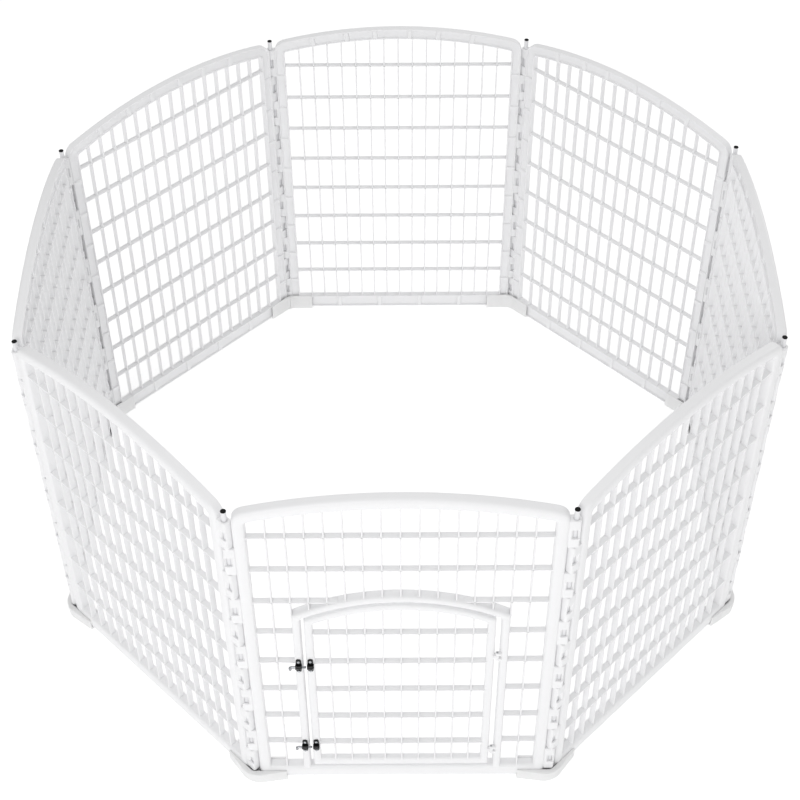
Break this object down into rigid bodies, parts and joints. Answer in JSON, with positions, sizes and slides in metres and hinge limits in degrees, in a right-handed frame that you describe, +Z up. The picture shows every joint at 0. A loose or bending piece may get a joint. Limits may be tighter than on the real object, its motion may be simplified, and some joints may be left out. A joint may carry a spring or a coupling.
{
  "type": "pet playpen",
  "caption": "Ring of hinged moulded grille panels with arched tops, drop-in rods, corner shoes and an arched door with sliding bolts.",
  "frame": {"origin": "centre of the ring on the floor", "axes": "+Z up, -Y out through the doorway, +X towards the door's hinge side"},
  "size_m": [1.5062, 1.5062, 0.867],
  "materials": {
    "panel_plastic": "injection-moulded off-white polypropylene, satin",
    "shoe_plastic": "flexible pale grey plastic, slightly translucent",
    "rod_coating": "steel tube with a smooth off-white coating",
    "cap_plastic": "black push-on end cap",
    "latch_plastic": "glossy black moulded bracket",
    "bolt_chrome": "chromed steel bolt",
    "screw_steel": "bright zinc-plated pan-head screw",
    "pin_steel": "plain steel hinge pin"
  },
  "bodies": {
    "bay_1": {"panel_1": "panel_plastic", "corner_shoe_1": "shoe_plastic", "corner_shoe_2": "shoe_plastic", "door_hinge_pin_1": "pin_steel", "door_hinge_pin_2": "pin_steel", "latch_barrel_1": "latch_plastic", "latch_barrel_2": "latch_plastic", "latch_screw_1": "screw_steel", "latch_screw_2": "screw_steel", "latch_screw_5": "screw_steel", "latch_screw_6": "screw_steel"},
    "bay_2": {"panel_2": "panel_plastic", "corner_shoe_3": "shoe_plastic"},
    "bay_3": {"panel_3": "panel_plastic", "corner_shoe_4": "shoe_plastic"},
    "bay_4": {"panel_4": "panel_plastic", "corner_shoe_5": "shoe_plastic"},
    "bay_5": {"panel_5": "panel_plastic", "corner_shoe_6": "shoe_plastic"},
    "bay_6": {"panel_6": "panel_plastic"},
    "bay_7": {"panel_7": "panel_plastic", "corner_shoe_7": "shoe_plastic"},
    "bay_8": {"panel_8": "panel_plastic", "corner_shoe_8": "shoe_plastic"},
    "door": {"door_leaf": "panel_plastic", "latch_keeper_1": "latch_plastic", "latch_keeper_2": "latch_plastic", "latch_screw_3": "screw_steel", "latch_screw_4": "screw_steel", "latch_screw_7": "screw_steel", "latch_screw_8": "screw_steel"},
    "bolt_1": {"latch_bolt_1": "bolt_chrome"},
    "bolt_2": {"latch_bolt_2": "bolt_chrome"},
    "rod_1": {"hinge_rod_1": "rod_coating", "rod_cap_1": "cap_plastic"},
    "rod_2": {"hinge_rod_2": "rod_coating", "rod_cap_2": "cap_plastic"},
    "rod_3": {"hinge_rod_3": "rod_coating", "rod_cap_3": "cap_plastic"},
    "rod_4": {"hinge_rod_4": "rod_coating", "rod_cap_4": "cap_plastic"},
    "rod_5": {"hinge_rod_5": "rod_coating", "rod_cap_5": "cap_plastic"},
    "rod_6": {"hinge_rod_6": "rod_coating", "rod_cap_6": "cap_plastic"},
    "rod_7": {"hinge_rod_7": "rod_coating", "rod_cap_7": "cap_plastic"},
    "rod_8": {"hinge_rod_8": "rod_coating", "rod_cap_8": "cap_plastic"}
  },
  "joints": [
    {"name": "corner_2_fold", "type": "hinge", "parent": "bay_1", "child": "bay_2", "pos_m": [0.303, -0.73151, 0], "axis": [0, 0, 1], "range_deg": [-45, 45], "deforming": ["corner_shoe_2"]},
    {"name": "corner_3_fold", "type": "hinge", "parent": "bay_2", "child": "bay_3", "pos_m": [0.73151, -0.303, 0], "axis": [0, 0, 1], "range_deg": [-45, 45], "deforming": ["corner_shoe_3"]},
    {"name": "corner_4_fold", "type": "hinge", "parent": "bay_3", "child": "bay_4", "pos_m": [0.73151, 0.303, 0], "axis": [0, 0, 1], "range_deg": [-45, 45], "deforming": ["corner_shoe_4"]},
    {"name": "corner_5_fold", "type": "hinge", "parent": "bay_4", "child": "bay_5", "pos_m": [0.303, 0.73151, 0], "axis": [0, 0, 1], "range_deg": [-45, 45], "deforming": ["corner_shoe_5", "corner_shoe_6"]},
    {"name": "corner_1_fold", "type": "hinge", "parent": "bay_1", "child": "bay_8", "pos_m": [-0.303, -0.73151, 0], "axis": [0, 0, 1], "range_deg": [-45, 45], "deforming": ["corner_shoe_1"]},
    {"name": "corner_8_fold", "type": "hinge", "parent": "bay_8", "child": "bay_7", "pos_m": [-0.73151, -0.303, 0], "axis": [0, 0, 1], "range_deg": [-45, 45], "deforming": ["corner_shoe_8"]},
    {"name": "corner_7_fold", "type": "hinge", "parent": "bay_7", "child": "bay_6", "pos_m": [-0.73151, 0.303, 0], "axis": [0, 0, 1], "range_deg": [-45, 45], "deforming": ["corner_shoe_7"]},
    {"name": "door_swing", "type": "hinge", "parent": "bay_1", "child": "door", "pos_m": [0.181, -0.74151, 0], "axis": [0, 0, 1], "range_deg": [0, 120]},
    {"name": "latch_1_slide", "type": "slide", "parent": "bay_1", "child": "bolt_1", "axis": [1, 0, 0], "range_m": [0, 0.0065]},
    {"name": "latch_2_slide", "type": "slide", "parent": "bay_1", "child": "bolt_2", "axis": [1, 0, 0], "range_m": [0, 0.0065]},
    {"name": "rod_1_lift", "type": "slide", "parent": "bay_1", "child": "rod_1", "axis": [0, 0, 1], "range_m": [0, 0.81]},
    {"name": "rod_2_lift", "type": "slide", "parent": "bay_1", "child": "rod_2", "axis": [0, 0, 1], "range_m": [0, 0.81]},
    {"name": "rod_3_lift", "type": "slide", "parent": "bay_2", "child": "rod_3", "axis": [0, 0, 1], "range_m": [0, 0.81]},
    {"name": "rod_4_lift", "type": "slide", "parent": "bay_3", "child": "rod_4", "axis": [0, 0, 1], "range_m": [0, 0.81]},
    {"name": "rod_5_lift", "type": "slide", "parent": "bay_4", "child": "rod_5", "axis": [0, 0, 1], "range_m": [0, 0.81]},
    {"name": "rod_6_lift", "type": "slide", "parent": "bay_5", "child": "rod_6", "axis": [0, 0, 1], "range_m": [0, 0.81]},
    {"name": "rod_7_lift", "type": "slide", "parent": "bay_7", "child": "rod_7", "axis": [0, 0, 1], "range_m": [0, 0.81]},
    {"name": "rod_8_lift", "type": "slide", "parent": "bay_8", "child": "rod_8", "axis": [0, 0, 1], "range_m": [0, 0.81]}
  ],
  "couplings": [
    {"joint": "corner_3_fold", "follows": "corner_2_fold", "ratio": -1},
    {"joint": "corner_4_fold", "follows": "corner_2_fold", "ratio": 1},
    {"joint": "corner_5_fold", "follows": "corner_2_fold", "ratio": -1},
    {"joint": "corner_1_fold", "follows": "corner_2_fold", "ratio": 1},
    {"joint": "corner_8_fold", "follows": "corner_2_fold", "ratio": -1},
    {"joint": "corner_7_fold", "follows": "corner_2_fold", "ratio": 1}
  ]
}
